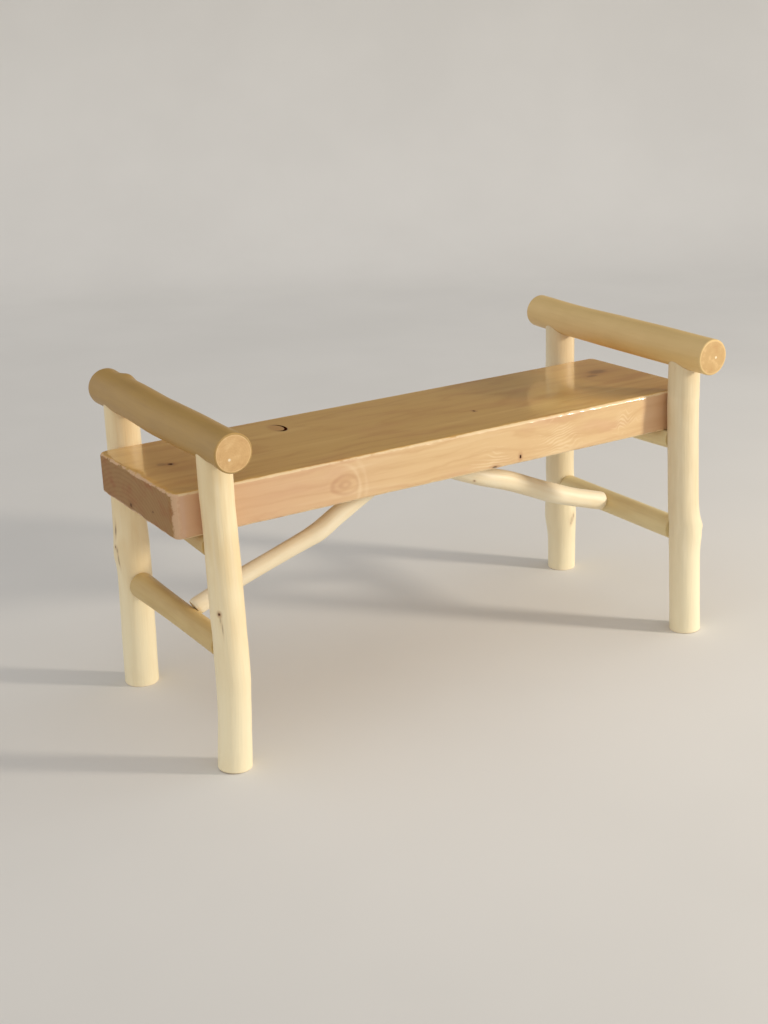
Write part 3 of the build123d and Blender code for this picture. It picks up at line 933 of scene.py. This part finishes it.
def front_blush_and_leg_shadows(tree, place, look, colour, upward):
    """The front is pinker over its left half, and painted shade toward both ends stands for the
    front legs' shadows; the top isn't changed.
    """
    from_ends = distance_from(tree, place, (-25.0, 0.0, 0.0), (1.0, 0.0, 0.0))
    from_left = distance_from(tree, place, (-460.0, -150.0, 410.0), (1.0, 0.0, 0.0))
    pinker_and_shaded = stain(
        tree,
        colour,
        # Painted shadow: the blush toward both ends lies where the front legs' shadows fall on the
        # front.
        (look.blush_and_shade, from_ends, 0.415, 0.437, 0.55),
        (look.blush_and_shade, from_left, 0.420, 0.060, 0.45),
    )
    return stain(tree, pinker_and_shaded, (colour, upward, 0.3, 0.8, 1.0))


def small_knots(tree, place, look, colour, fibres):
    """The plank's small knots, and the brown wood round some of them."""
    knots = (
        # (place, size, darkness, weights along x, y and z)
        ((122.3, -151.0, 391.0), 5.2, 1.0, (1.3, 1.0, 0.8)),
        ((67.7, -151.0, 381.0), 5.0, 1.0, (0.55, 1.0, 1.1)),
        ((105.0, -37.4, 452.0), 5.0, 1.0, (1.2, 0.8, 1.0)),
        ((-462.0, 4.5, 452.0), 6.5, 1.0, (0.85, 0.75, 1.0)),
        ((-475.0, 12.0, 452.0), 9.0, 0.30, (0.7, 0.7, 1.0)),
        ((459.0, 50.0, 452.0), 20.0, 0.40, (0.60, 1.0, 1.0)),
        ((430.0, 30.0, 452.0), 10.0, 0.35, (0.5, 1.0, 1.0)),
        ((-530.0, 19.0, 393.0), 6.0, 0.6, (1.0, 0.8, 1.0)),
        ((-530.0, -70.0, 405.0), 3.0, 0.5, (1.0, 0.6, 1.0)),
    )
    for centre, size, darkness, weights in knots:
        reach = distance_from(tree, place, centre, weights)
        colour = draw_knot(tree, colour, reach, fibres, size, darkness, look.swirl, look.knot)
    return colour


def open_knot(tree, place, look, colour):
    """The loose knot on the top has opened along its far side into a dark crescent."""
    whole = distance_from(tree, place, (-223.5, 87.0, 452.0), (1.72, 1.0, 1.0))
    sound = distance_from(tree, place, (-228.5, 91.5, 452.0), (1.72, 1.0, 1.0))
    open_side = add(tree, "ShaderNodeMath", (whole, sound), operation="SUBTRACT")
    gap = weighted_sum(tree, apart(tree, whole, 0.0215), (open_side, 0.36))
    halo = (look.swirl, whole, 0.034, 0.016, 0.45)
    return stain(tree, colour, halo, (look.knot, gap, 0.0022, -0.0002, 1.0))


def screw_material():
    """Zinc-plated steel: pale grey metal, a little uneven from the plating bath."""
    material, tree = new_material("Steel screw, zinc-plated")
    place = add(tree, "ShaderNodeTexCoord").outputs["Object"]
    # The plating's spangle is 1.2 mm across.
    cloud = grain_pattern(tree, place, (1.2, 1.2, 1.2), 3.0)
    colour = stain(tree, linear("#B9B6AE"), (linear("#8F8B80"), cloud, 0.3, 0.7, 1.0))
    rough = weighted_sum(tree, 0.28, (cloud, 0.2))
    steel = add(
        tree,
        "ShaderNodeBsdfPrincipled",
        {"Base Color": colour, "Metallic": 1.0, "Roughness": rough},
    )
    add(tree, "ShaderNodeOutputMaterial", {"Surface": steel})
    return material


def paper_material(colour):
    """Paper, matt and uncoated: a backdrop, a little cloudy, with no shine, and painted shade under
    the lamp.
    """
    material, tree = new_material("Paper, matt backdrop")
    place = add(tree, "ShaderNodeTexCoord").outputs["Object"]
    cloud = grain_pattern(tree, place, (800.0, 800.0, 800.0), 5.0)
    # Painted shade: the paper is painted greyer under the lamp, so that the strong light there
    # isn't glaring.
    under_lamp = distance_from(tree, place, (1897.0, -1810.0, 0.0))
    colour = stain(
        tree,
        colour,
        (linear("#DAD8D3"), cloud, 0.3, 0.7, 0.5),
        (linear("#918F8B"), under_lamp, 2.0, 0.6, 1.0),
    )
    paper = add(tree, "ShaderNodeBsdfPrincipled", {"Base Color": colour, "Roughness": 0.85})
    add(tree, "ShaderNodeOutputMaterial", {"Surface": paper})
    return material


def cross_logs(look, left, right):
    """The left and the right rung or bearer, each with its looks, also for its shoulders."""
    return (
        (left, (look.left_cross_wood, look.left_cross_streak) * 2),
        (right, (look.right_cross_wood, look.right_cross_streak) * 2),
    )


# Operators


class BENCH_OT_legs(bpy.types.Operator):
    """Make the four legs, coped to the hand rails at their tops"""

    bl_idname = "bench.legs"
    bl_label = "Legs"

    def execute(self, context):
        look = context.scene.bench_logs
        sawn = (look.end_wood, look.end_ring)
        left = (look.left_leg_wood, look.left_leg_streak, *sawn)
        # Painted shade: the right legs take the darker, greyer copy of the leg wood.
        right = (look.right_leg_wood_and_shade, look.right_leg_streak_and_shade, *sawn)
        legs = (
            (FRONT_LEFT_LEG, LEFT_RAIL, left),
            (BACK_LEFT_LEG, LEFT_RAIL, left),
            (FRONT_RIGHT_LEG, RIGHT_RAIL, right),
            (BACK_RIGHT_LEG, RIGHT_RAIL, right),
        )
        for seed, (leg, rail, looks) in enumerate(legs, start=1):
            mesh, rings, end = start_log(leg, seed, looks, PITH)
            rings = cope_top(rings, rail)
            rings[..., 2] = np.maximum(rings[..., 2], 0.0)
            finish_log(leg, mesh, rings, end)
        return {"FINISHED"}


class BENCH_OT_rails(bpy.types.Operator):
    """Make the two hand rails, with eased sawn ends"""

    bl_idname = "bench.rails"
    bl_label = "Hand Rails"

    def execute(self, context):
        look = context.scene.bench_logs
        ring = look.end_ring
        # Painted light and shade: the left rail takes the darker copy of the wood and the right
        # rail the paler copy.
        left = (look.left_rail_wood_shaded, look.left_rail_streak_shaded, look.end_wood, ring)
        # Painted shade: the right rail's sawn ends take the darker copy of the end wood.
        right = (look.right_rail_wood_lit, look.right_rail_streak_lit, look.right_end_wood_shaded, ring)
        rails = ((LEFT_RAIL, left, (-7.2, -8.4)), (RIGHT_RAIL, right, (7.1, -0.9)))
        for seed, (rail, looks, pith) in enumerate(rails, start=11):
            mesh, rings, end = start_log(rail, seed, looks, pith)
            rings[..., 1] = np.clip(rings[..., 1], rail.stations[0][0], rail.stations[-1][0])
            finish_log(rail, mesh, rings, end)
        return {"FINISHED"}


class BENCH_OT_rungs(bpy.types.Operator):
    """Make the two lower rungs, with flat shoulders round their tenons"""

    bl_idname = "bench.rungs"
    bl_label = "Rungs"

    def execute(self, context):
        look = context.scene.bench_logs
        rungs = cross_logs(look, LEFT_RUNG, RIGHT_RUNG)
        for seed, (rung, looks) in enumerate(rungs, start=21):
            finish_log(rung, *start_log(rung, seed, looks, PITH, tenoned=True))
        return {"FINISHED"}


class BENCH_OT_bearers(bpy.types.Operator):
    """Make the two seat bearers, planed flat on top under the plank"""

    bl_idname = "bench.bearers"
    bl_label = "Seat Bearers"

    def execute(self, context):
        look = context.scene.bench_logs
        bearers = cross_logs(look, LEFT_BEARER, RIGHT_BEARER)
        for seed, (bearer, looks) in enumerate(bearers, start=31):
            mesh, rings, end = start_log(bearer, seed, looks, PITH, tenoned=True)
            rings[..., 2] = np.minimum(rings[..., 2], SEAT_UNDERSIDE)
            finish_log(bearer, mesh, rings, end)
        return {"FINISHED"}


class BENCH_OT_braces(bpy.types.Operator):
    """Make the two crooked braces, sawn to bear on their rungs and the plank"""

    bl_idname = "bench.braces"
    bl_label = "Braces"

    def execute(self, context):
        look = context.scene.bench_logs
        # Painted light: the braces' sawn ends take the pale streak colour, not the end wood, so
        # that their shaded ends look lit.
        looks = (look.brace_wood, look.brace_streak, look.brace_streak, look.end_wood)
        # (brace, its rung, the way inward along x, lean of the foot's cut in degrees)
        braces = ((LEFT_BRACE, LEFT_RUNG, 1.0, 30.0), (RIGHT_BRACE, RIGHT_RUNG, -1.0, 17.0))
        # How deep the foot bites into the rung's round, in mm
        bite = 0.6
        downward = np.array([0.0, 0.0, -1.0])
        seat = np.array([0.0, 0.0, SEAT_UNDERSIDE])
        for seed, (brace, rung, inward, slant) in enumerate(braces, start=41):
            mesh, rings, end = start_log(brace, seed, looks, (2.0, 3.0))
            across, up, radius = log_at(rung, brace.stations[0][1])
            turn = math.radians(slant)
            facing = np.array([inward * math.cos(turn), 0.0, math.sin(turn)])
            bearing = np.array([across, 0.0, up]) + facing * (radius - bite)
            rings = cut_brace(rings, 0, facing, bearing)
            rings = cut_brace(rings, -1, downward, seat)
            # The foot's rim is eased.
            for ring, drawn_in in ((0, 2.6), (1, 0.5)):
                middle = rings[ring].mean(axis=0)
                share = 1 - drawn_in / brace.stations[0][3]
                rings[ring] = middle + (rings[ring] - middle) * share
            finish_log(brace, mesh, rings, end)
        return {"FINISHED"}


class BENCH_OT_plank(bpy.types.Operator):
    """Make the seat plank, with eased edges and rounded corners"""

    bl_idname = "bench.plank"
    bl_label = "Seat Plank"

    def execute(self, context):
        low, high = (Vector(corner) for corner in SEAT_BOX)
        mesh = self.cut_board(context.scene.bench_plank, low, high)
        points = np.array([vertex.co for vertex in mesh.vertices])
        points = self.wear_edges(points, np.array(low), np.array(high))
        mesh.vertices.foreach_set("co", points.ravel())
        mesh.shade_smooth()
        mesh.set_sharp_from_angle(angle=math.radians(32))
        # How far each point is round an eased edge, from 0 on a flat to 1 half-way, where
        # the largest part of the normal has fallen by 0.29.
        half_way = 0.29
        turned = [(1.0 - max(map(abs, vertex.normal))) / half_way for vertex in mesh.vertices]
        mesh.attributes.new("eased_edge", "FLOAT", "POINT").data.foreach_set("value", turned)
        mesh.materials.append(plank_material())
        piece = bpy.data.objects.new("planed_seat_plank", mesh)
        context.scene.collection.objects.link(piece)
        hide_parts("seat_plank")
        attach(piece, "root")
        return {"FINISHED"}

    def cut_board(self, look, low, high):
        """A board with rounded corners and eased edges, cut up finely to take the wear."""
        work = bmesh.new()
        bmesh.ops.create_cube(work, size=1.0)
        bmesh.ops.scale(work, vec=high - low, verts=work.verts)
        bmesh.ops.translate(work, vec=(low + high) / 2, verts=work.verts)
        corners = [e for e in work.edges if abs(e.verts[0].co.z - e.verts[1].co.z) > 0.01]
        for side, radius in ((-1, look.left_corner_radius), (1, look.right_corner_radius)):
            ends = [e for e in corners if e.is_valid and e.verts[0].co.x * side > 0]
            bmesh.ops.bevel(work, geom=ends, offset=radius, segments=8, profile=0.5, affect="EDGES")
        rims = [e for e in work.edges if len({round(v.co.z, 5) for v in e.verts}) == 1]
        bmesh.ops.bevel(
            work, geom=rims, offset=look.edge_easing, segments=6, profile=0.5, affect="EDGES"
        )
        # The cuts' spacing along x, y and z
        for axis, step in enumerate((0.006, 0.006, 0.0045)):
            normal = Vector([float(axis == k) for k in range(3)])
            cuts = int((high[axis] - low[axis]) / step)
            for cut in range(1, cuts):
                place = low + (high - low) * (cut / cuts)
                geometry = work.verts[:] + work.edges[:] + work.faces[:]
                bmesh.ops.bisect_plane(
                    work, geom=geometry, plane_co=place, plane_no=normal, dist=1e-6
                )
        mesh = bpy.data.meshes.new("planed_seat_plank")
        work.to_mesh(mesh)
        work.free()
        return mesh

    def wear_edges(self, points, low, high):
        """Round the plank's edges further, unevenly, as hands and a rasp do."""
        x, y, _ = points.T
        # The wear is uneven in patches, 60 to a metre, that this seed sets.
        patches, seed = 60, 3.1
        ragged = np.array([
            noise.fractal(Vector((a * patches, b * patches, seed)), 0.8, 2.0, 3)
            for a, b in zip(x, y)
        ])
        backward = np.clip((y - low[1]) / (high[1] - low[1]), 0.0, 1.0)
        edges = (
            # ((axis, side), (axis, side), radius at each point)
            ((0, -1), (2, 1), 0.0075 + 0.0060 * ragged),
            ((0, -1), (2, -1), 0.0070 + 0.0090 * backward + 0.0030 * ragged),
            ((1, -1), (2, 1), 0.0058 + 0.0030 * ragged),
            ((1, -1), (2, -1), 0.0052 + 0.0020 * ragged),
        )
        for *sides, radius in edges:
            inset = []
            for axis, side in sides:
                edge = high[axis] if side > 0 else low[axis]
                inset.append(radius - np.abs(edge - points[:, axis]))
            reach = np.hypot(*np.maximum(inset, 0.0))
            outside = (inset[0] > 0) & (inset[1] > 0) & (reach > radius)
            share = np.where(outside, 1 - radius / np.maximum(reach, 1e-9), 0.0)
            for (axis, side), depth in zip(sides, inset):
                points[:, axis] -= side * depth * share
        return points


class BENCH_OT_screws(bpy.types.Operator):
    """Finish the screws under the bench in zinc-plated steel"""

    bl_idname = "bench.screws"
    bl_label = "Screws"

    def execute(self, context):
        steel = screw_material()
        for node in ("seat_screws", "brace_head_screws", "brace_foot_screws"):
            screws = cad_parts[node]
            for slot in screws.material_slots:
                slot.material = steel
        return {"FINISHED"}


class BENCH_OT_stage(bpy.types.Operator):
    """Set up the floor, the lights and the camera"""

    bl_idname = "bench.stage"
    bl_label = "Stage"

    def execute(self, context):
        stage = context.scene.bench_stage
        context.scene.view_settings.view_transform = "Standard"
        self.make_floor(stage)
        self.make_lights(stage)
        self.make_camera()
        return {"FINISHED"}

    def make_floor(self, stage):
        """A plain floor that sweeps up into a backdrop behind the bench."""
        yaw, near, far, half_width = 0.549, -6.0, 3.8, 9.0
        bend, steps, wall_top, backdrop_top = 1.25, 24, 1.4, 7.0
        wall = far + bend
        # Outlines of (distance ahead, height), swept to both sides
        forward = Vector((math.sin(yaw), math.cos(yaw), 0.0))
        aside = Vector((forward.y, -forward.x, 0.0))
        turns = [math.pi / 2 * step / steps for step in range(1, steps + 1)]
        curve = [(far + bend * math.sin(turn), bend * (1 - math.cos(turn))) for turn in turns]
        floor = [(near, 0.0), (far, 0.0), *curve, (wall, wall_top)]
        # Only the camera sees the upper part, so that a glossy top mirrors no bright wall.
        upper = [(wall, wall_top), (wall, backdrop_top)]
        material = paper_material(stage.floor)
        for name, line in (("studio_floor", floor), ("studio_backdrop", upper)):
            vertices = [
                forward * along + aside * side + Vector((0.0, 0.0, height))
                for along, height in line
                for side in (-half_width, half_width)
            ]
            faces = [(k, k + 1, k + 3, k + 2) for k in range(0, len(vertices) - 2, 2)]
            mesh = bpy.data.meshes.new(name)
            mesh.from_pydata(vertices, [], faces)
            mesh.shade_smooth()
            mesh.materials.append(material)
            piece = bpy.data.objects.new(name, mesh)
            if line is upper:
                piece.visible_diffuse = False
                piece.visible_glossy = False
                piece.visible_shadow = False
            bpy.context.scene.collection.objects.link(piece)

    def make_lights(self, stage):
        """One low, soft key light from the right front, and an even fill."""
        key = bpy.data.lights.new("key_light", "AREA")
        key.shape = "DISK"
        key.size = 0.42
        key.energy = stage.key_strength
        key.color = linear("#FFF4E4")[:3]
        lamp = bpy.data.objects.new("key_light", key)
        lamp.location = (2.62, -2.50, 1.38)
        middle = Vector((0.0, 0.0, 0.35))
        lamp.rotation_euler = (middle - lamp.location).to_track_quat("-Z", "Y").to_euler()
        bpy.context.scene.collection.objects.link(lamp)
        world = bpy.data.worlds.new("studio_world")
        world.use_nodes = True
        tree = world.node_tree
        tree.nodes.clear()
        # The room behind the backdrop is dim, so that a glossy top mirrors no bright wall.
        toward = add(tree, "ShaderNodeTexCoord").outputs["Generated"]
        from_back = distance_from(tree, toward, (500.0, 780.0, 360.0), (1.0, 1.0, 1.3))
        light = stain(tree, linear("#F7F5F4"), (linear("#4A4846"), from_back, 1.0, 0.55, 1.0))
        sky = add(tree, "ShaderNodeBackground", {"Color": light, "Strength": stage.fill_strength})
        add(tree, "ShaderNodeOutputWorld", {"Surface": sky})
        bpy.context.scene.world = world

    def make_camera(self):
        """The camera, a little to the left in front and above the bench."""
        yaw, pitch, roll = 0.54908, 0.3273, -0.03679
        place = (-1.36043, -2.11471, 1.13063)
        focal_pixels, picture_pixels, sensor = 1479.18, 1024, 24.0
        ahead = math.cos(pitch)
        forward = Vector((math.sin(yaw) * ahead, math.cos(yaw) * ahead, -math.sin(pitch)))
        level = Vector((math.cos(yaw), -math.sin(yaw), 0.0))
        above = level.cross(forward)
        right = level * math.cos(roll) + above * math.sin(roll)
        up = above * math.cos(roll) - level * math.sin(roll)
        camera = bpy.data.cameras.new("camera")
        camera.sensor_fit = "VERTICAL"
        camera.sensor_height = sensor
        camera.lens = sensor * focal_pixels / picture_pixels
        camera.clip_start = 0.05
        stand = bpy.data.objects.new("camera", camera)
        turn = Matrix((right, up, -forward)).transposed().to_4x4()
        stand.matrix_world = Matrix.Translation(place) @ turn
        bpy.context.scene.collection.objects.link(stand)
        bpy.context.scene.camera = stand


class BENCH_PT_panel(bpy.types.Panel):
    """The bench's settings and the buttons that make its pieces"""

    bl_label = "Log Bench"
    bl_idname = "BENCH_PT_panel"
    bl_space_type = "VIEW_3D"
    bl_region_type = "UI"
    bl_category = "Log Bench"

    def draw(self, context):
        scene = context.scene
        for group in (scene.bench_logs, scene.bench_plank, scene.bench_stage):
            box = self.layout.box()
            for name in group.bl_rna.properties.keys():
                if name not in ("rna_type", "name"):
                    box.prop(group, name)
        for operator in OPERATORS:
            self.layout.operator(operator.bl_idname)


OPERATORS = (
    BENCH_OT_plank,
    BENCH_OT_legs,
    BENCH_OT_rails,
    BENCH_OT_rungs,
    BENCH_OT_bearers,
    BENCH_OT_braces,
    BENCH_OT_screws,
    BENCH_OT_stage,
)
CLASSES = (LogSettings, PlankSettings, StageSettings, *OPERATORS, BENCH_PT_panel)


def register():
    """Add the settings, operators and panel to Blender."""
    for item in CLASSES:
        bpy.utils.register_class(item)
    bpy.types.Scene.bench_logs = PointerProperty(type=LogSettings)
    bpy.types.Scene.bench_plank = PointerProperty(type=PlankSettings)
    bpy.types.Scene.bench_stage = PointerProperty(type=StageSettings)


def unregister():
    """Take the settings, operators and panel out of Blender again."""
    del bpy.types.Scene.bench_stage
    del bpy.types.Scene.bench_plank
    del bpy.types.Scene.bench_logs
    for item in reversed(CLASSES):
        bpy.utils.unregister_class(item)


def main():
    """Make the bench and its stage."""
    register()
    bpy.ops.bench.plank()
    bpy.ops.bench.legs()
    bpy.ops.bench.rails()
    bpy.ops.bench.rungs()
    bpy.ops.bench.bearers()
    bpy.ops.bench.braces()
    bpy.ops.bench.screws()
    bpy.ops.bench.stage()


if __name__ == "__main__":
    main()
